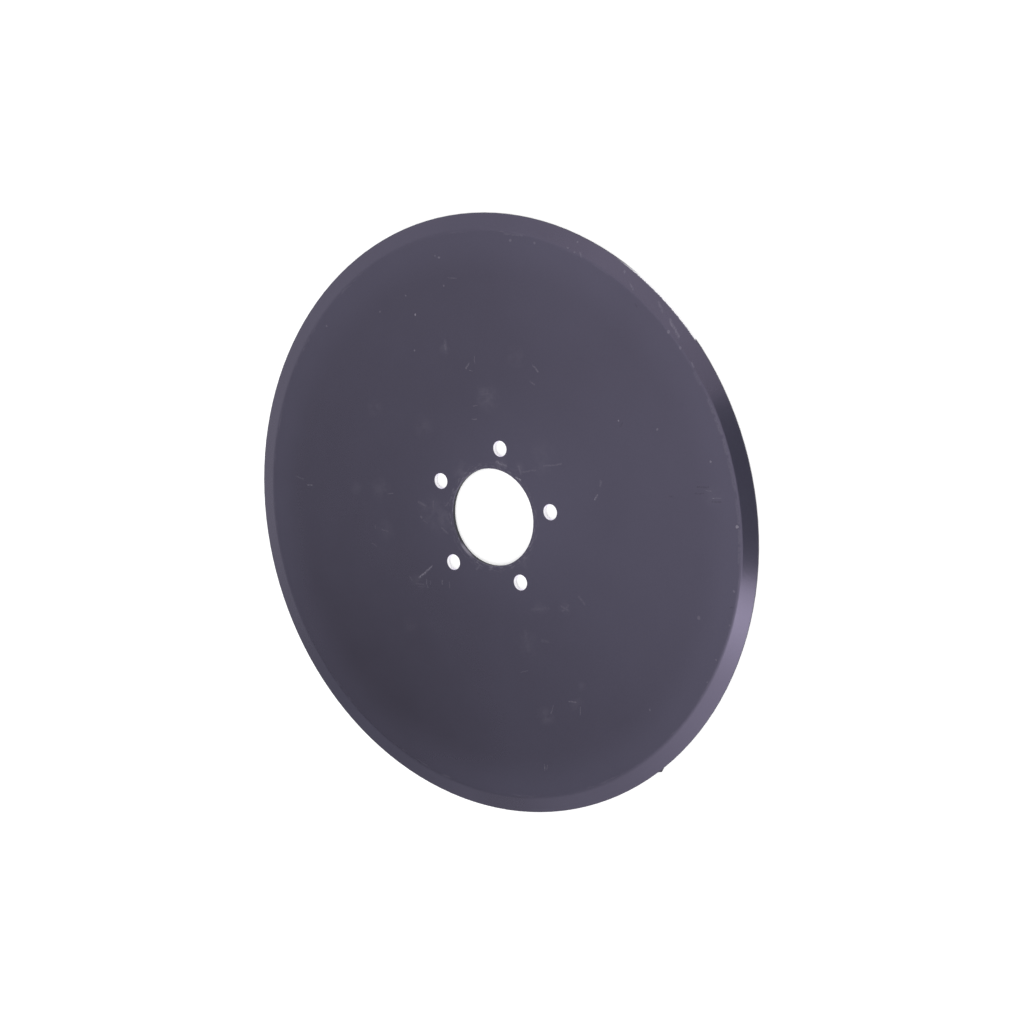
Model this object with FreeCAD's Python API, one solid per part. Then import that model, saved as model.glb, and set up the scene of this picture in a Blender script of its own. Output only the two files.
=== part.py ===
import math
import os

import FreeCAD
import Part
from FreeCAD import Vector

# Driving dimensions, in mm. The back face lies on Z = 0 and the ground bevel is on the +Z side.
disc_radius = 175.0
plate_thickness = 2.5
land_height = 0.4
bevel_width = 9.4
bevel_line_radius = 8.0
rim_back_break = 0.08
rim_front_radius = 0.15

bore_radius = 28.5
bore_front_radius = 0.4
bore_back_break = 0.2

hole_count = 5
hole_circle_radius = 41.0
hole_radius = 4.5
hole_front_radius = 0.35
hole_back_break = 0.15
first_hole_angle = 90.0

# The grinding burr on the rim: where it is, its size, and how it sits in the land.
nib_angle = 102.3
nib_length = 4.9
nib_stand = 1.1
nib_tip_offset = 0.3
nib_tip_radius = 0.3
nib_inset = 0.05
nib_root = 1.0

# How far a cutting tool reaches past a face.
overcut = 1.0


def at(radius, height):
    # A point of the section, which lies in the plane Y = 0.
    return Vector(radius, 0.0, height)


def rounded_corner(before, corner, after, radius):
    # Start, middle and end of the arc of this radius that is tangent to both sides of the corner.
    to_before = (before - corner).normalize()
    to_after = (after - corner).normalize()
    half_angle = to_before.getAngle(to_after) / 2.0
    reach = radius / math.tan(half_angle)
    bisector = (to_before + to_after).normalize()
    start = corner + to_before * reach
    middle = corner + bisector * (radius / math.sin(half_angle) - radius)
    end = corner + to_after * reach
    return start, middle, end


def line(start, end):
    return Part.LineSegment(start, end).toShape()


def arc(points):
    return Part.Arc(points[0], points[1], points[2]).toShape()


def disc_section():
    rim_back = at(disc_radius, 0.0)
    rim_front = at(disc_radius, land_height)
    bevel_top = at(disc_radius - bevel_width, plate_thickness)
    bore_front = at(bore_radius, plate_thickness)
    bore_back = at(bore_radius, 0.0)

    rim_edge = rounded_corner(rim_back, rim_front, bevel_top, rim_front_radius)
    bevel_line = rounded_corner(rim_front, bevel_top, bore_front, bevel_line_radius)
    bore_edge = rounded_corner(bevel_top, bore_front, bore_back, bore_front_radius)

    rim_bottom = at(disc_radius - rim_back_break, 0.0)
    rim_low = at(disc_radius, rim_back_break)
    bore_low = at(bore_radius, bore_back_break)
    bore_bottom = at(bore_radius + bore_back_break, 0.0)

    outline = Part.Wire([
        line(bore_bottom, rim_bottom),
        line(rim_bottom, rim_low),
        line(rim_low, rim_edge[0]),
        arc(rim_edge),
        line(rim_edge[2], bevel_line[0]),
        arc(bevel_line),
        line(bevel_line[2], bore_edge[0]),
        arc(bore_edge),
        line(bore_edge[2], bore_low),
        line(bore_low, bore_bottom),
    ])
    return Part.Face(outline)


def bolt_hole(x, y):
    # The space of one bolt hole, with the broken edge at the back.
    foot = Vector(x, y, -overcut)
    shank = Part.makeCylinder(hole_radius, plate_thickness + 2.0 * overcut, foot)
    flare = hole_back_break + overcut
    mouth = Part.makeCone(hole_radius + flare, hole_radius, flare, foot)
    return shank.fuse(mouth)


def is_front_mouth(edge):
    # True for the circles where a bolt hole meets the front face.
    tolerance = 1e-4
    curve = edge.Curve
    if not isinstance(curve, Part.Circle):
        return False
    if abs(curve.Radius - hole_radius) > tolerance:
        return False
    return abs(curve.Center.z - plate_thickness) < tolerance


def rim_nib():
    # A low wedge rooted in the land, with its upright tip rounded.
    root_x = disc_radius - nib_root
    rim_x = math.sqrt(disc_radius ** 2 - (nib_length / 2.0) ** 2)
    tip_x = disc_radius + nib_stand
    corners = [
        Vector(root_x, -nib_length / 2.0, nib_inset),
        Vector(rim_x, -nib_length / 2.0, nib_inset),
        Vector(tip_x, -nib_tip_offset, nib_inset),
        Vector(rim_x, nib_length / 2.0, nib_inset),
        Vector(root_x, nib_length / 2.0, nib_inset),
    ]
    outline = Part.makePolygon(corners + [corners[0]])
    wedge = Part.Face(outline).extrude(Vector(0, 0, land_height - 2.0 * nib_inset))
    tip_edges = [edge for edge in wedge.Edges if edge.BoundBox.XMin > disc_radius + nib_stand / 2.0]
    wedge = wedge.makeFillet(nib_tip_radius, tip_edges)
    wedge.rotate(Vector(0, 0, 0), Vector(0, 0, 1), nib_angle)
    return wedge


disc = disc_section().revolve(Vector(0, 0, 0), Vector(0, 0, 1), 360)

for index in range(hole_count):
    angle = math.radians(first_hole_angle + 360.0 * index / hole_count)
    x = hole_circle_radius * math.cos(angle)
    y = hole_circle_radius * math.sin(angle)
    disc = disc.cut(bolt_hole(x, y))

front_mouths = [edge for edge in disc.Edges if is_front_mouth(edge)]
disc = disc.makeFillet(hole_front_radius, front_mouths)
disc = disc.fuse(rim_nib())

box = disc.optimalBoundingBox()
print("disc_blade: solids", len(disc.Solids), "valid", disc.isValid(), "rolled holes", len(front_mouths))
print("size", round(box.XLength, 3), round(box.YLength, 3), round(box.ZLength, 3))

os.makedirs("parts", exist_ok=True)
disc.Solids[0].exportStep("parts/disc_blade.step")
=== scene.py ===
import math

import bpy
from mathutils import Matrix, Vector

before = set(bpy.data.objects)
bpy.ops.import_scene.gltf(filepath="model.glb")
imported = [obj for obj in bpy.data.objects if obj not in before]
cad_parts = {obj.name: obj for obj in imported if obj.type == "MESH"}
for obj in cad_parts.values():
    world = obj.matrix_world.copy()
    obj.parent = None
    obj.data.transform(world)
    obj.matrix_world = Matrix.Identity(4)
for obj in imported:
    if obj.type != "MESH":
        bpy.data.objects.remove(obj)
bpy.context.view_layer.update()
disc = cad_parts["disc_blade"]
print("frame loaded:", disc.name)

millimetre = 0.001       # Blender works in metres, and the disc's own tables are in millimetres
noiseMean = 0.5          # what a noise comes to on average


class Wire:
    # A node's socket that takes part in sums: each operator adds one Math node.
    def __init__(self, tree, socket):
        self.tree = tree
        self.socket = socket

    def math(self, operation, *values):
        return self.tree.add("ShaderNodeMath", {"operation": operation}, values)

    def __add__(self, other):
        return self.math("ADD", self, other)

    def __radd__(self, other):
        return self.math("ADD", other, self)

    def __sub__(self, other):
        return self.math("SUBTRACT", self, other)

    def __rsub__(self, other):
        return self.math("SUBTRACT", other, self)

    def __mul__(self, other):
        return self.math("MULTIPLY", self, other)

    def __rmul__(self, other):
        return self.math("MULTIPLY", other, self)

    def __truediv__(self, other):
        return self.math("DIVIDE", self, other)

    def __rtruediv__(self, other):
        return self.math("DIVIDE", other, self)

    def __abs__(self):
        return self.math("ABSOLUTE", self)

    def exponential(self):
        return self.math("EXPONENT", self)

    def larger(self, other):
        return self.math("MAXIMUM", self, other)

    def rise(self, low, high):
        # 0 below low, 1 above high and smooth between; low may be the higher value, for a fall.
        settings = {"interpolation_type": "SMOOTHSTEP"}
        values = {"Value": self, "From Min": low, "From Max": high}
        return self.tree.add("ShaderNodeMapRange", settings, values)

    def riseAt(self, corner, limits):
        # The same, with both limits measured from a corner of the profile.
        return self.rise(corner + limits[0], corner + limits[1])


class Tree:
    # The node tree of a material or of the world.
    def __init__(self, owner):
        owner.use_nodes = True
        self.nodes = owner.node_tree.nodes
        self.links = owner.node_tree.links
        self.nodes.clear()

    def add(self, kind, settings=None, values=(), out=0):
        # Settings come first, then the sockets by order or by name; returns the output that out names.
        node = self.nodes.new(kind)
        for name, value in (settings or {}).items():
            setattr(node, name, value)
        pairs = values.items() if isinstance(values, dict) else enumerate(values)
        for key, value in pairs:
            if isinstance(value, Wire):
                self.links.new(value.socket, node.inputs[key])
            else:
                node.inputs[key].default_value = value
        return Wire(self, node.outputs[out]) if node.outputs else None

    def vector(self, operation, *values, out=0):
        return self.add("ShaderNodeVectorMath", {"operation": operation}, values, out)

    def scaled(self, vector, factor):
        return self.add("ShaderNodeVectorMath", {"operation": "SCALE"}, {0: vector, "Scale": factor})

    def flattened(self, vector):
        return self.vector("MULTIPLY", vector, (1.0, 1.0, 0.0))

    def length(self, vector):
        return self.vector("LENGTH", vector, out="Value")

    def distance(self, first, second):
        return self.vector("DISTANCE", first, second, out="Value")

    def split(self, vector):
        node = self.add("ShaderNodeSeparateXYZ", values=[vector]).socket.node
        return [Wire(self, socket) for socket in node.outputs]

    def noise(self, vector, scale, detail=2.0, roughness=0.5, out=0):
        values = {"Vector": vector, "Scale": scale, "Detail": detail, "Roughness": roughness}
        return self.add("ShaderNodeTexNoise", values=values, out=out)

    def blend(self, factor, first, second):
        settings = {"data_type": "RGBA"}
        colours = {0: factor, 6: first, 7: second}
        return self.add("ShaderNodeMix", settings, colours, out=2)


# The paint: its colour and gloss, then the painted light and shade on its face and bevel, its grain,
# orange peel and grinding lines, and how deep the boldest scratches cut. Sizes, radii and heights are in
# millimetres.
paint = {
    "colour": (0.0301, 0.0296, 0.0454, 1.0),
    "ior": 1.6,
    "specularLevel": 0.91,
    "specularTint": (0.80, 0.70, 1.0, 1.0),
    "faceRoughness": 0.20,
    "bevelRoughness": 0.12,
    "sheenSize": 20.0,
    "sheenDepth": 0.03,
    "mottleSize": 30.0,
    "mottleDepth": 0.10,
    # The outer ring of the face and the whole bevel are made lighter: painted light.
    "outerRing": (138.0, 162.0),
    "outerPaintedLight": 0.31,
    "bevelPaintedLight": 0.19,
    "grainSize": 0.9,
    "grainDepth": 0.10,
    "peelSize": 1.7,
    "peelHeight": 0.0020,
    "grindPitch": 0.45,
    "grindSweep": 4.5,
    "grindHeight": 0.0009,
    "cutDepth": 0.012,
    "cutFrom": 0.6,
}

# What shows where the paint is worn: bare steel, a scuffed film of paint and the bottom of a pit. The
# scuffed film's colour also paints the highlights on the bore's edge and the bevel's inner line.
steel = {
    "colour": (0.92, 0.91, 0.93, 1.0),
    "metallic": 0.95,
    "rubAndHighlightColour": (0.155, 0.148, 0.175, 1.0),
    "pitColour": (0.010, 0.010, 0.014, 1.0),
}

# The cut walls of the bore and the rim, where the paint is thin and dull.
cutWall = {
    "colour": (0.036, 0.035, 0.047, 1.0),
    "grainDepth": 0.40,
    "roughness": 0.55,
    "specularLevel": 0.30,
}

# The corners of the disc's profile and its bolt holes, as the CAD part has them.
profile = {
    "bevelStart": 165.6,
    "rim": 175.0,
    "landTop": 0.4,
    "front": 2.5,
    "bore": 28.5,
    "boltCircle": 41.0,
    "boltHole": 4.5,
    "boltCount": 5,
    "firstBolt": 90.0,
}

# Where each zone of the surface fades in or out, from a corner of the profile. A bolt hole's bare wall
# reaches boltEdge past the hole, and is full within boltCore, a share of that radius.
zones = {
    "front": (-0.02, 0.08),
    "bevel": (-1.0, 0.8),
    "scuffTop": (-0.5, -0.1),
    "boreWall": (0.5, 0.1),
    "boreTop": (-0.1, -0.4),
    "landWall": (-0.4, -0.1),
    "landTop": (0.05, -0.1),
    "boltEdge": 0.16,
    "boltCore": 0.98,
}

# Scratches, and a painted highlight drawn as strokes along the bevel's inner line, in millimetres from the
# axis of the disc: start, end, width and strength.
scratchesAndHighlight = [
    ((54.9, 8.9), (67.4, 11.6), 1.4, 0.61),
    ((62.9, 14.7), (63.9, 16.8), 1.1, 0.34),
    ((63.8, 17.9), (64.2, 19.1), 1.0, 0.22),
    ((60.4, 16.4), (61.2, 17.9), 0.9, 0.20),
    ((70.9, 13.8), (66.1, 16.3), 0.9, 0.16),
    ((70.4, 16.0), (65.5, 17.9), 0.8, 0.12),
    ((73.7, 8.2), (72.9, 10.8), 1.1, 0.20),
    ((47.6, 22.1), (49.2, 24.9), 1.0, 0.22),
    ((52.1, 19.3), (53.1, 21.0), 1.3, 0.36),
    ((-59.3, -8.6), (-48.0, -12.6), 1.1, 0.26),
    ((-41.5, -12.3), (-31.0, -15.7), 1.1, 0.22),
    ((-31.0, -15.0), (-31.5, -19.0), 1.8, 0.26),
    ((-28.8, -11.5), (-26.8, -14.2), 1.3, 0.95),
    ((-23.0, -23.0), (-18.5, -27.3), 2.5, 0.45),
    ((-70.0, -61.5), (-68.2, -66.0), 1.2, 0.38),
    ((-64.0, -56.0), (-62.0, -58.7), 1.1, 0.26),
    ((-17.3, -54.7), (-14.3, -56.0), 0.6, 0.40),
    ((-21.5, -61.6), (-18.5, -62.8), 0.6, 0.45),
    ((-28.0, -80.7), (-26.7, -82.0), 0.6, 0.45),
    ((-28.0, -85.3), (-24.7, -83.7), 1.0, 0.44),
    ((-31.7, -83.7), (-33.3, -87.3), 0.6, 0.40),
    ((-18.6, -103.8), (-16.8, -99.4), 2.2, 0.20),
    ((115.7, -68.7), (119.0, -70.3), 0.7, 0.70),
    ((120.0, -74.7), (125.3, -78.4), 0.7, 0.22),
    ((41.7, -24.7), (45.4, -28.6), 1.9, 0.20),
    ((35.2, -24.6), (36.6, -22.0), 1.1, 0.16),
    ((28.0, -19.1), (25.2, -20.0), 1.3, 0.20),
    ((47.4, -17.8), (45.6, -14.7), 1.0, 0.12),
    ((37.5, -8.8), (34.6, -4.0), 1.4, 0.22),
    ((82.3, -28.8), (83.4, -27.0), 0.9, 0.18),
    ((79.0, -24.4), (75.3, -21.6), 1.0, 0.18),
    ((90.2, -19.9), (88.1, -17.0), 1.0, 0.16),
    ((34.0, 143.3), (35.7, 145.3), 0.6, 0.45),
    ((35.7, 142.0), (37.3, 145.0), 0.6, 0.50),
    ((-2.2, 124.5), (-4.4, 120.5), 0.6, 0.35),
    ((-20.2, 63.8), (-23.6, 67.6), 1.6, 0.14),
    ((-19.5, 66.6), (-25.0, 65.0), 1.6, 0.14),
    ((-34.2, 63.2), (-35.4, 68.1), 1.8, 0.16),
    ((0.2, 57.8), (-11.2, 61.5), 2.2, 0.07),
    ((2.1, 76.4), (-1.9, 78.6), 2.4, 0.08),
    ((10.7, 68.2), (13.8, 78.3), 4.0, 0.05),
    ((-147.3, 48.7), (-142.0, 46.9), 0.7, 0.45),
    ((-143.0, 42.7), (-140.0, 41.3), 0.6, 0.35),
    ((-43.3, -132.0), (-38.0, -135.0), 0.6, 0.25),
    ((20.0, 88.7), (25.3, 87.7), 0.6, 0.22),
    ((13.0, 113.3), (16.7, 116.7), 0.6, 0.30),
    ((-162.3, -50.8), (-163.2, -40.1), 1.7, 0.50),
    ((-160.0, -62.3), (-159.9, -56.4), 1.5, 0.30),
    ((-148.5, -78.9), (-148.9, -75.1), 1.2, 0.35),
    ((-126.9, -108.0), (-126.9, -105.5), 1.2, 0.35),
    ((-164.6, -23.9), (-164.5, -21.9), 1.6, 0.40),
    # These eight strokes along the bevel's inner line, about 164 mm from the axis, are a painted highlight.
    ((-163.9, -11.5), (-163.3, -18.6), 2.0, 0.16),
    ((-164.4, -2.0), (-164.2, 5.7), 2.2, 0.20),
    ((-164.0, 9.0), (-163.4, 17.2), 2.4, 0.24),
    ((-163.0, 20.9), (-161.8, 28.5), 2.4, 0.24),
    ((-161.2, 31.5), (-157.1, 48.0), 2.2, 0.20),
    ((-155.4, 53.2), (-150.8, 65.0), 2.0, 0.18),
    ((-149.4, 68.6), (-146.4, 74.6), 2.2, 0.20),
    ((-145.0, 77.3), (-140.8, 84.6), 2.0, 0.18),
    ((-86.3, -139.6), (-96.9, -133.2), 1.3, 0.20),
    ((1.5, 114.7), (-2.8, 116.9), 0.9, 0.38),
    ((64.5, -42.0), (60.6, -40.4), 0.7, 0.30),
    ((-73.4, 16.0), (-70.8, 18.2), 1.3, 0.50),
    ((-79.4, 10.0), (-77.6, 12.4), 1.4, 0.25),
    ((22.6, 21.6), (25.4, 22.4), 1.8, 0.22),
]

# Specks and chips: place, radius and strength.
specks = [
    ((-6.4, -126.4), 0.9, 1.0),
    ((-5.6, -138.7), 0.7, 0.40),
    ((-38.0, -147.6), 0.8, 0.50),
    ((-36.0, -150.0), 0.7, 0.35),
    ((4.3, -108.3), 0.9, 0.45),
    ((-106.4, -15.1), 0.8, 0.70),
    ((-127.1, -0.7), 0.8, 0.40),
    ((-150.0, 28.4), 0.9, 0.60),
    ((-149.1, 66.4), 1.3, 1.0),
    ((-102.9, 102.3), 1.4, 0.24),
    ((-88.0, -134.7), 1.1, 0.35),
    ((57.3, -148.4), 0.8, 0.35),
    ((48.0, -19.8), 1.1, 0.24),
    ((-158.6, -45.2), 1.2, 0.50),
    ((-102.3, -126.0), 0.9, 0.30),
    ((16.5, -139.0), 0.8, 0.30),
    ((-130.7, 97.3), 1.0, 0.35),
    ((-102.0, 127.3), 0.9, 0.30),
    ((-48.3, 137.7), 0.8, 0.30),
    ((-33.1, -132.1), 0.8, 0.35),
    ((-127.6, -113.9), 1.0, 0.45),
    ((-123.9, -109.7), 0.8, 0.35),
    ((-121.2, -113.7), 0.8, 0.35),
    ((-148.0, -86.4), 1.0, 0.40),
    ((-161.4, -34.3), 1.0, 0.45),
    ((-119.4, 113.0), 0.8, 0.22),
    ((-91.1, 136.5), 0.8, 0.22),
]

# Small dark pits, drawn out like the scratches: start, end, width and strength.
pits = [
    ((-105.5, -12.0), (-108.3, -13.2), 1.2, 0.35),
    ((-135.5, 37.3), (-142.5, 40.2), 1.1, 0.60),
    ((-133.2, 40.3), (-137.8, 42.0), 1.0, 0.50),
    ((-141.0, 48.6), (-145.6, 50.5), 1.1, 0.45),
    ((-117.2, 35.4), (-118.8, 36.4), 1.2, 0.40),
    ((-124.6, 104.4), (-126.2, 105.0), 1.3, 0.45),
    ((-146.6, -67.5), (-146.8, -65.9), 1.3, 0.45),
]

# Dull rubbed patches: place, radius and strength.
rubs = [
    ((-30.5, -62.5), 11.0, 0.64),
    ((20.0, -66.0), 10.0, 0.24),
    ((-50.0, -19.0), 13.0, 0.18),
    ((37.0, -17.0), 15.0, 0.42),
    ((32.0, -12.7), 3.0, 0.50),
    ((68.0, -46.0), 10.0, 0.32),
    ((77.0, -23.0), 9.0, 0.28),
    ((85.0, -54.0), 6.0, 0.28),
    ((12.0, 74.0), 12.0, 0.20),
    ((21.0, 117.0), 8.0, 0.42),
    ((-15.7, -99.5), 5.0, 0.45),
    ((-22.0, 65.0), 6.0, 0.30),
    ((-5.5, 59.0), 7.0, 0.25),
    ((88.0, 35.0), 8.0, 0.14),
    ((70.0, 14.0), 8.0, 0.32),
    ((-60.0, -75.0), 9.0, 0.28),
    ((-143.0, 46.0), 9.0, 0.28),
    ((48.0, -90.0), 8.0, 0.26),
    ((-3.0, 119.0), 7.0, 0.30),
    ((-11.0, 110.0), 4.0, 0.30),
    ((-21.0, -25.0), 6.0, 0.60),
    ((7.0, -31.0), 10.0, 0.50),
    ((33.0, -13.0), 9.0, 0.55),
    ((-31.0, -18.0), 5.0, 0.50),
    ((-9.0, 31.0), 6.0, 0.45),
    ((44.0, -25.0), 6.0, 0.35),
    ((-46.0, -12.0), 9.0, 0.30),
]

# Broad painted light and shade on the face: place, radius and how much lighter or darker.
faceLightAndShade = [
    ((-8.1, -3.8), 80.0, 0.31),
    ((180.0, 82.0), 160.0, -0.46),
    ((-90.0, 39.0), 138.0, 0.29),
    ((-116.0, -106.0), 63.0, 0.19),
    ((147.0, -89.0), 123.0, -0.10),
]

# The same painted light and shade for the bevel.
bevelLightAndShade = [
    ((159.0, 64.0), 55.0, 0.18),
    ((-151.0, -80.0), 60.0, -0.42),
    ((26.0, -169.0), 90.0, 0.10),
    ((-60.0, -160.0), 60.0, 0.10),
    ((-168.7, -21.0), 32.0, -0.45),
    ((-120.0, -120.0), 30.0, -0.28),
    ((72.0, 154.0), 32.0, -0.22),
    ((-118.0, 122.0), 28.0, 0.22),
]

# How the drawn marks and the patches of painted light and shade fade, as shares of a scratch's width or a
# spot's radius.
fade = {"lineOuter": 0.65, "lineInner": 0.05, "speckCore": 0.45, "rubCore": 0.0, "lightAndShadeCore": 0.2}

# How far the drawn marks stray from a ruled line, in millimetres, and how fast.
waver = {"scale": 0.30, "detail": 1.5, "roughness": 0.6, "reach": 1.6}

# How wear looks: how marks break up, what a rubbed patch is made of, how strongly it shows, and how
# much rougher each kind of wear is than the paint.
wear = {
    "breakScale": 0.9,
    "breakUp": (0.34, 0.58),
    "leastLeft": 0.3,
    "cloudScale": 0.16,
    "clouds": (0.30, 0.66),
    "cloudShare": 0.60,
    "hairShare": 0.35,
    "hairFade": 0.09,
    "filmShare": 0.06,
    "rubShows": 0.40,
    "rubRougher": 0.08,
    "markRougher": 0.15,
    "bareRougher": 0.15,
}

# The hairlines in a rubbed patch, two lays: angle, spacing, reach and where their noise is cut.
hairLays = [
    (-17.0, 0.35, 16.0, 0.60),
    (64.0, 0.4, 12.0, 0.63),
]

# Wear round the bore, where the hub sits: how far it reaches, how strong it is and how its chips lie.
# The painted highlight on a stretch of the bore's edge and upper wall is in degrees round the axis, in
# distance from it and in height.
hubWearAndHighlight = {
    "reach": 33.5,
    "strength": 0.50,
    "arcWidth": 0.9,
    "arcSweep": 7.0,
    "chips": (0.48, 0.66),
    "highlightStart": (6.0, 16.0),
    "highlightEnd": (35.0, 23.0),
    "highlightReach": (30.2, 29.0),
    "highlightHeight": (0.6, 1.9),
}

# Chipped paint along the bevel's inner line: how far inside that line it lies, how wide and how strong
# it is, the stretches that it comes in and how its chips lie.
lineWear = {
    "inset": 0.8,
    "width": (1.1, 0.2),
    "strength": 0.13,
    "patchSize": 22.0,
    "patches": (0.46, 0.60),
    "arcWidth": 1.1,
    "arcSweep": 2.4,
    "chips": (0.46, 0.64),
}

# The stretch of the rim where the paint is gone: its ends in degrees round the axis, how far in it
# reaches in millimetres, and how ragged that side is.
bareRim = {
    "sharpEnd": (-168.8, -168.3),
    "softEnd": (-146.0, -154.0),
    "inner": (174.3, 174.55),
    "ragged": 0.35,
    "raggedMiddle": 0.65,
}


def segmentMask(tree, place, start, end, width, strength):
    # A line whose edge is soft, from the distance of each point to the segment.
    run = Vector((end[0] - start[0], end[1] - start[1], 0.0))
    heading = run.normalized()
    offset = tree.vector("SUBTRACT", place, (start[0], start[1], 0.0))
    travel = tree.vector("DOT_PRODUCT", offset, heading, out="Value")
    along = tree.add("ShaderNodeClamp", values=[travel, 0.0, run.length])
    gap = tree.distance(offset, tree.scaled(heading, along))
    return gap.rise(fade["lineOuter"] * width, fade["lineInner"] * width) * strength


def spotMask(tree, place, centre, radius, strength, core):
    # A round spot that fades from core, a share of its radius, to its edge.
    gap = tree.distance(place, (centre[0], centre[1], 0.0))
    return gap.rise(radius, radius * core) * strength


def strongest(masks):
    # At each point the largest of the masks.
    best = masks[0]
    for mask in masks[1:]:
        best = best.larger(mask)
    return best


def hairlines(tree, place, angle, spacing, reach, cut):
    # Fine parallel lines: a noise that is stretched along one direction and cut high.
    values = {"Vector": place, "Rotation": (0.0, 0.0, math.radians(angle))}
    turned = tree.add("ShaderNodeMapping", {"vector_type": "TEXTURE"}, values)
    stretched = tree.vector("MULTIPLY", turned, (1.0 / reach, 1.0 / spacing, 0.0))
    return tree.noise(stretched, 1.0, detail=1.5).rise(cut, cut + wear["hairFade"])


def ringwise(tree, radius, angle, width, sweep):
    # Coordinates for a noise that runs round the axis: width in millimetres, sweep in degrees.
    return tree.add("ShaderNodeCombineXYZ", values=[radius * (1.0 / width), angle * (1.0 / sweep), 0.0])


def arcChips(tree, radius, angle, chipped):
    # Small chips that are drawn out round the axis.
    arcs = ringwise(tree, radius, angle, chipped["arcWidth"], chipped["arcSweep"])
    return tree.noise(arcs, 1.0, detail=3.0, roughness=0.6).rise(*chipped["chips"])


def wavering(tree, flat):
    # The plan with a slow drift, so that no drawn line is ruled.
    slow = tree.noise(flat, waver["scale"], waver["detail"], waver["roughness"], out="Color")
    drift = tree.vector("SUBTRACT", slow, (noiseMean, noiseMean, noiseMean))
    shaken = tree.vector("ADD", flat, tree.scaled(drift, waver["reach"]))
    return tree.flattened(shaken)


def rubbedPatches(tree, flat, drawn):
    # Dull patches: clouds and hairlines inside soft spots, over a thin film.
    patches = strongest([spotMask(tree, drawn, *mark, fade["rubCore"]) for mark in rubs])
    clouds = tree.noise(flat, wear["cloudScale"]).rise(*wear["clouds"])
    hairs = strongest([hairlines(tree, flat, *lay) for lay in hairLays])
    return patches * (clouds * wear["cloudShare"] + hairs * wear["hairShare"] + wear["filmShare"])


def hubMarksAndHighlight(tree, radius, angle, z):
    # The scuffs on the face round the bore, and a painted highlight on a stretch of the bore's edge and
    # upper wall.
    scuffs = radius.rise(hubWearAndHighlight["reach"], profile["bore"]) * arcChips(tree, radius, angle, hubWearAndHighlight)
    scuffs = scuffs * hubWearAndHighlight["strength"] * z.riseAt(profile["front"], zones["scuffTop"])
    # Painted highlight: a stretch of the bore's edge and upper wall is coloured light.
    arc = angle.rise(*hubWearAndHighlight["highlightStart"]) * angle.rise(*hubWearAndHighlight["highlightEnd"])
    paintedGlint = radius.rise(*hubWearAndHighlight["highlightReach"]) * arc * z.rise(*hubWearAndHighlight["highlightHeight"])
    return scuffs, paintedGlint


def lineFlecks(tree, flat, radius, angle):
    # Flecks of chipped paint along the bevel's inner line.
    fromLine = abs(radius - profile["bevelStart"] + lineWear["inset"])
    stretches = tree.noise(flat, 1.0 / lineWear["patchSize"]).rise(*lineWear["patches"])
    chips = arcChips(tree, radius, angle, lineWear)
    return fromLine.rise(*lineWear["width"]) * chips * stretches * lineWear["strength"]


def boltWalls(tree, flat):
    # The walls of the bolt holes, which are bare steel.
    masks = []
    for index in range(profile["boltCount"]):
        angle = math.radians(profile["firstBolt"] + 360.0 * index / profile["boltCount"])
        centre = (profile["boltCircle"] * math.cos(angle), profile["boltCircle"] * math.sin(angle))
        radius = profile["boltHole"] + zones["boltEdge"]
        masks.append(spotMask(tree, flat, centre, radius, 1.0, zones["boltCore"]))
    return strongest(masks)


def bareSteel(tree, flat, radius, angle, broken):
    # Bare steel on a stretch of the rim and in the bolt holes.
    stretch = angle.rise(*bareRim["sharpEnd"])
    ragged = radius + (broken - bareRim["raggedMiddle"]) * bareRim["ragged"]
    rim = ragged.rise(*bareRim["inner"]) * stretch * angle.rise(*bareRim["softEnd"])
    return rim.larger(boltWalls(tree, flat))


def toneAndPaintedLight(tree, flat, radius, bevel, grain):
    # How light the paint is: slow mottling and grain, and the broad painted light and shade of the face and
    # of the bevel.
    mottle = tree.noise(flat, 1.0 / paint["mottleSize"], detail=3.0) - noiseMean
    shade = mottle * (2.0 * paint["mottleDepth"]) + grain * (2.0 * paint["grainDepth"]) + 1.0
    faceShade = radius.rise(*paint["outerRing"]) * paint["outerPaintedLight"]
    for tone in faceLightAndShade:
        faceShade = faceShade + spotMask(tree, flat, *tone, fade["lightAndShadeCore"])
    bevelShade = paint["bevelPaintedLight"]
    for tone in bevelLightAndShade:
        bevelShade = bevelShade + spotMask(tree, flat, *tone, fade["lightAndShadeCore"])
    return shade + faceShade * (1.0 - bevel) + bevelShade * bevel


def surfaceHeight(tree, position, radius, angle, bevel, cuts):
    # Height in millimetres: orange peel all over, grinding lines on the bevel, and cut scratches.
    peel = tree.noise(position, 1.0 / paint["peelSize"], detail=1.0) - noiseMean
    grindLines = ringwise(tree, radius, angle, paint["grindPitch"], paint["grindSweep"])
    grind = (tree.noise(grindLines, 1.0) - noiseMean) * bevel * (2.0 * paint["grindHeight"])
    return peel * (2.0 * paint["peelHeight"]) + grind - cuts * paint["cutDepth"]


def cutWalls(radius, z, paintedGlint, bare):
    # The walls of the bore and of the land at the rim, but not where the bore has its painted highlight or
    # where they are bare.
    land = z.riseAt(profile["landTop"], zones["landTop"]) * radius.riseAt(profile["rim"], zones["landWall"])
    bore = radius.riseAt(profile["bore"], zones["boreWall"])
    bore = bore * z.riseAt(profile["front"], zones["boreTop"]) * (1.0 - paintedGlint)
    return bore.larger(land) * (1.0 - bare)


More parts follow.
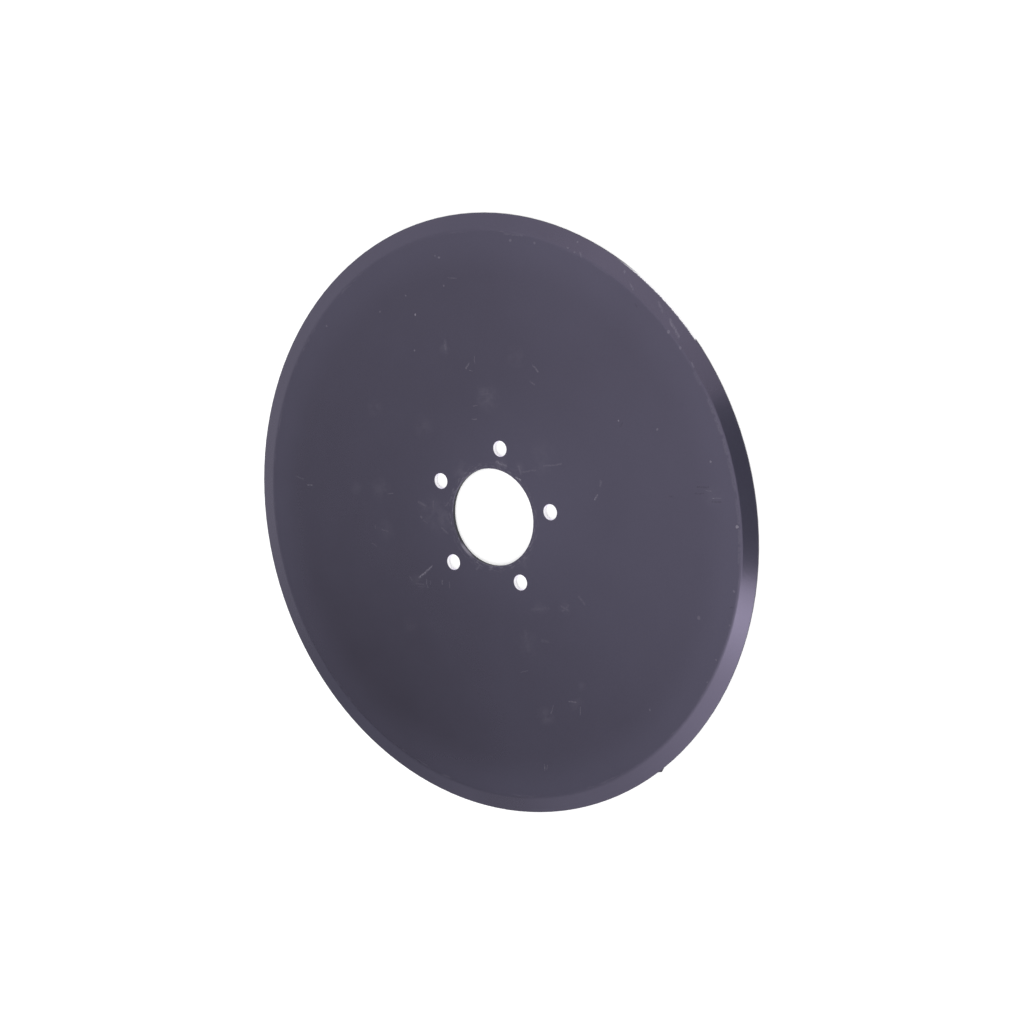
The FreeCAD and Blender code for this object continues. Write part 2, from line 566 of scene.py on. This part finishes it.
def paintedSteel():
    material = bpy.data.materials.new("paintedSteel")
    tree = Tree(material)
    metres = tree.add("ShaderNodeTexCoord", out="Object")
    position = tree.scaled(metres, 1.0 / millimetre)
    x, y, z = tree.split(position)
    flat = tree.flattened(position)
    radius = tree.length(flat)
    angle = y.math("ARCTAN2", y, x) * math.degrees(1.0)

    # Where the front and the bevel lie.
    front = z.riseAt(profile["landTop"], zones["front"])
    bevel = radius.riseAt(profile["bevelStart"], zones["bevel"]) * front

    # Scratches, specks, pits and rubbed patches, the wear round the bore and along the bevel, and the
    # painted highlights on the bore's edge and along the bevel's inner line.
    drawn = wavering(tree, flat)
    broken = tree.noise(flat, wear["breakScale"], detail=3.0).rise(*wear["breakUp"])
    broken = broken * (1.0 - wear["leastLeft"]) + wear["leastLeft"]
    lineMasks = [segmentMask(tree, drawn, *mark) for mark in scratchesAndHighlight]
    lines = strongest(lineMasks) * broken
    boldMasks = [mask for mask, mark in zip(lineMasks, scratchesAndHighlight) if mark[-1] > paint["cutFrom"]]
    cuts = strongest(boldMasks) * front
    dots = strongest([spotMask(tree, drawn, *mark, fade["speckCore"]) for mark in specks])
    holes = strongest([segmentMask(tree, drawn, *mark) for mark in pits]) * broken
    worn = rubbedPatches(tree, flat, drawn) * front
    scuffs, paintedGlint = hubMarksAndHighlight(tree, radius, angle, z)
    flecks = lineFlecks(tree, flat, radius, angle)
    marksAndHighlights = lines.larger(dots).larger(scuffs).larger(paintedGlint).larger(flecks) * front
    bare = bareSteel(tree, flat, radius, angle, broken)

    # Colour: the paint in its tones and its painted light and shade, then what wear shows over it.
    grain = tree.noise(position, 1.0 / paint["grainSize"]) - noiseMean
    painted = tree.scaled(paint["colour"][:3], toneAndPaintedLight(tree, flat, radius, bevel, grain))
    rubbed = tree.blend(worn * wear["rubShows"], painted, steel["rubAndHighlightColour"])
    pitted = tree.blend(holes, rubbed, steel["pitColour"])
    # The marks here carry wear and also the painted highlights on the bore's edge and the bevel's inner
    # line.
    marked = tree.blend(marksAndHighlights, pitted, steel["rubAndHighlightColour"])
    colour = tree.blend(bare, marked, steel["colour"])

    # Gloss: the ground bevel is smoother than the face, and worn places are rougher.
    zoneRoughness = bevel * (paint["bevelRoughness"] - paint["faceRoughness"]) + paint["faceRoughness"]
    sheen = tree.noise(flat, 1.0 / paint["sheenSize"], detail=3.0) - noiseMean
    roughness = zoneRoughness + sheen * paint["sheenDepth"] + worn * wear["rubRougher"]
    roughness = roughness + marksAndHighlights * wear["markRougher"] + bare * wear["bareRougher"]

    height = surfaceHeight(tree, position, radius, angle, bevel, cuts)
    relief = {"Strength": 1.0, "Distance": millimetre, "Height": height}
    normal = tree.add("ShaderNodeBump", values=relief)

    surface = tree.add("ShaderNodeBsdfPrincipled", values={
        "Base Color": colour,
        "Roughness": roughness,
        "Metallic": bare * steel["metallic"],
        "IOR": paint["ior"],
        "Specular IOR Level": paint["specularLevel"],
        "Specular Tint": paint["specularTint"],
        "Normal": normal,
    })
    dullShade = grain * (2.0 * cutWall["grainDepth"]) + 1.0
    dull = tree.add("ShaderNodeBsdfPrincipled", values={
        "Base Color": tree.scaled(cutWall["colour"][:3], dullShade),
        "Roughness": cutWall["roughness"],
        "Specular IOR Level": cutWall["specularLevel"],
        "Normal": normal,
    })
    finish = tree.add("ShaderNodeMixShader", values=[cutWalls(radius, z, paintedGlint, bare), surface, dull])
    tree.add("ShaderNodeOutputMaterial", values=[finish])
    return material


disc.material_slots[0].material = paintedSteel()
print("disc painted:", len(scratchesAndHighlight), "scratches,", len(specks), "specks,", len(rubs), "rubs")


# The floor is pale by its own colour, and the last step to white is added only for what the camera and
# glossy or clear surfaces see of it. Its size and its drop are in metres.
floor = {"size": 14.0, "drop": 0.0003, "colour": (0.80, 0.80, 0.80, 1.0), "lift": 0.42}


def plainFloor():
    half = floor["size"] / 2.0
    corners = [(-half, -half, 0.0), (half, -half, 0.0), (half, half, 0.0), (-half, half, 0.0)]
    mesh = bpy.data.meshes.new("floor")
    mesh.from_pydata(corners, [], [(0, 1, 2, 3)])
    ground = bpy.data.objects.new("floor", mesh)
    ground.location.z = -floor["drop"]
    bpy.context.scene.collection.objects.link(ground)

    material = bpy.data.materials.new("floorPaint")
    tree = Tree(material)
    rays = tree.add("ShaderNodeLightPath").socket.node.outputs
    seen = Wire(tree, rays["Is Camera Ray"])
    seen = seen.larger(Wire(tree, rays["Is Glossy Ray"]))
    seen = seen.larger(Wire(tree, rays["Is Transmission Ray"]))
    matt = tree.add("ShaderNodeBsdfDiffuse", values={"Color": floor["colour"]})
    lift = tree.add("ShaderNodeEmission", values={"Strength": seen * floor["lift"]})
    both = tree.add("ShaderNodeAddShader", values=[matt, lift])
    tree.add("ShaderNodeOutputMaterial", values=[both])
    mesh.materials.append(material)
    return ground


plainFloor()
print("floor laid")


# The studio: a soft ceiling with a dark screen near its middle and a small strong lamp by the screen's
# edge, pale sides, a broad fill, a weak lamp low down, and white walls at the horizon and below it.
# Places are on the plan of the sky: 0, 0 is straight up, and 1 away from it is the horizon.
studio = {
    "colour": (1.0, 1.0, 1.0, 1.0),
    "ambient": 0.136,
    "sides": 1.141,
    "ceiling": 0.709,
    "ceilingFade": (0.684, 0.412),
    "keyPlace": (0.247, 0.206, 0.0),
    "keyRadius": 0.0742,
    "keyLevel": 2.17,
    "fillPlace": (0.208, 0.665, 0.0),
    "fillRadius": 0.411,
    "fillLevel": 1.235,
    "lowPlace": (1.0, -0.256, 0.0),
    "lowRadius": 0.264,
    "lowLevel": 0.351,
    "screenPlace": (0.0799, 0.0543, 0.0),
    "screenFade": (0.173, 0.168),
    "screenDepth": 0.852,
    "wallFade": (0.34, 0.20),
}


def softLamp(tree, plan, name):
    # A lamp with no edge: a bell curve round its place.
    reach = tree.distance(plan, studio[name + "Place"]) / studio[name + "Radius"]
    return (reach * reach * -1.0).exponential() * studio[name + "Level"]


def studioLight():
    world = bpy.data.worlds.new("studio")
    bpy.context.scene.world = world
    tree = Tree(world)
    direction = tree.add("ShaderNodeTexCoord", out="Generated")
    y, z = tree.split(direction)[1:]
    plan = tree.flattened(direction)
    ceiling = tree.length(plan).rise(*studio["ceilingFade"])
    glow = abs(y) * studio["sides"] + ceiling * studio["ceiling"] + studio["ambient"]
    for name in ("key", "fill", "low"):
        glow = glow + softLamp(tree, plan, name)
    fromScreen = tree.distance(plan, studio["screenPlace"])
    screen = fromScreen.rise(*studio["screenFade"]) * studio["screenDepth"]
    room = glow * (1.0 - screen)
    wall = z.rise(*studio["wallFade"])
    lit = room + wall * (1.0 - room)

    # The camera sees plain white behind the disc.
    rays = tree.add("ShaderNodeLightPath").socket.node.outputs
    seen = Wire(tree, rays["Is Camera Ray"])
    strength = lit + seen * (1.0 - lit)
    sky = {"Color": studio["colour"], "Strength": strength}
    background = tree.add("ShaderNodeBackground", values=sky)
    tree.add("ShaderNodeOutputWorld", values=[background])


studioLight()
print("studio lit")


# The camera looks down on the disc from the photograph's side, and its roll stands the disc up as the
# picture has it. Its aim, distance and clip start are in metres, its lens and sensor in millimetres.
camera = {
    "aim": (-0.012574, 0.0021357, 0.0),
    "distance": 1.45472,
    "azimuth": 169.92526,
    "elevation": 53.27507,
    "roll": -105.11949,
    "lens": 88.96293,
    "sensor": 36.0,
    "clipStart": 0.01,
}


def photoCamera():
    azimuth = math.radians(camera["azimuth"])
    elevation = math.radians(camera["elevation"])
    outward = Vector((
        math.cos(elevation) * math.cos(azimuth),
        math.cos(elevation) * math.sin(azimuth),
        math.sin(elevation),
    ))
    right = Vector((0.0, 0.0, 1.0)).cross(outward).normalized()
    upward = outward.cross(right)
    level = Matrix((right, upward, outward)).transposed()
    turn = level @ Matrix.Rotation(math.radians(camera["roll"]), 3, "Z")
    place = Vector(camera["aim"]) + outward * camera["distance"]
    lens = bpy.data.cameras.new("camera")
    lens.sensor_width = camera["sensor"]
    lens.lens = camera["lens"]
    lens.clip_start = camera["clipStart"]
    viewer = bpy.data.objects.new("camera", lens)
    viewer.matrix_world = Matrix.Translation(place) @ turn.to_4x4()
    bpy.context.scene.collection.objects.link(viewer)
    bpy.context.scene.camera = viewer


photoCamera()
bpy.context.scene.view_settings.view_transform = "Standard"
print("camera set")
